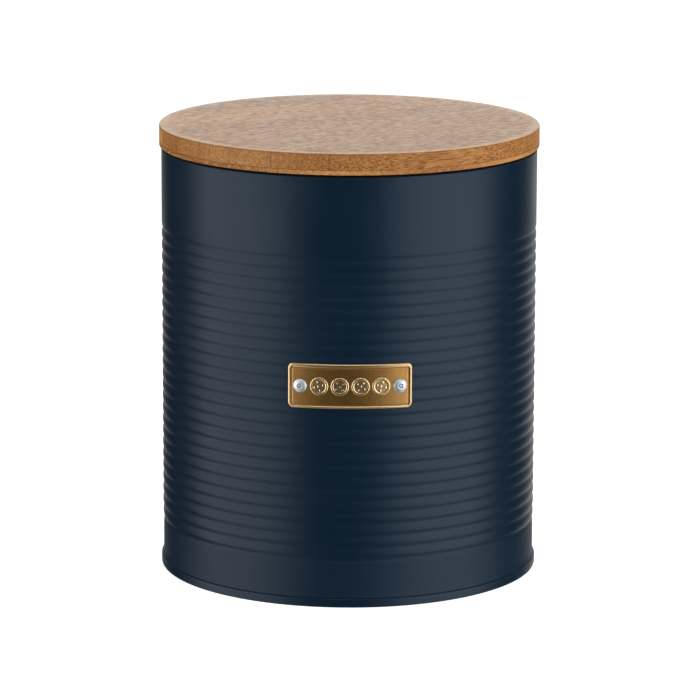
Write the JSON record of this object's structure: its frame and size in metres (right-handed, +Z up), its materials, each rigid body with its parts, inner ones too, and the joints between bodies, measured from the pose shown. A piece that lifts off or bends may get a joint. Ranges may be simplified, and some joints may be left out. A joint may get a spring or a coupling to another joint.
{
  "type": "cookie tin",
  "caption": "Round ribbed steel canister with a curled mouth, a riveted curved nameplate, and a round wooden plug lid with a silicone seal that lifts off.",
  "frame": {"origin": "the middle of the tin's base, on the plane it stands on", "axes": "+Z up along the tin's axis, -Y out of the front, through the middle of the nameplate, +X to the right seen from the front"},
  "size_m": [0.17, 0.17, 0.201],
  "materials": {
    "painted_tinplate": "satin navy paint",
    "brass": "satin, with polished raised lines",
    "rivet_alloy": "bright drawn",
    "mandrel_steel": "broken wire end",
    "bamboo": "sanded, thin matt lacquer",
    "silicone": "matt translucent"
  },
  "bodies": {
    "tin": {"body_wall": "painted_tinplate", "base_end": "painted_tinplate", "nameplate": "brass", "rivet_left": "rivet_alloy", "rivet_right": "rivet_alloy", "rivet_mandrel_left": "mandrel_steel", "rivet_mandrel_right": "mandrel_steel"},
    "seal": {"lid_seal": "silicone"},
    "lid": {"lid_plug": "bamboo", "lid_cross_ply": "bamboo", "lid_stave_1": "bamboo", "lid_stave_2": "bamboo", "lid_stave_3": "bamboo", "lid_stave_4": "bamboo", "lid_stave_5": "bamboo", "lid_stave_6": "bamboo", "lid_stave_7": "bamboo", "lid_stave_8": "bamboo", "lid_stave_9": "bamboo"}
  },
  "joints": [
    {"name": "lid_lift", "type": "slide", "parent": "tin", "child": "seal", "axis": [0, 0, 1], "range_m": [0, 0.2]},
    {"name": "lid_turn", "type": "hinge", "parent": "seal", "child": "lid", "pos_m": [0, 0, 0.1916], "axis": [0, 0, 1], "continuous": true}
  ]
}
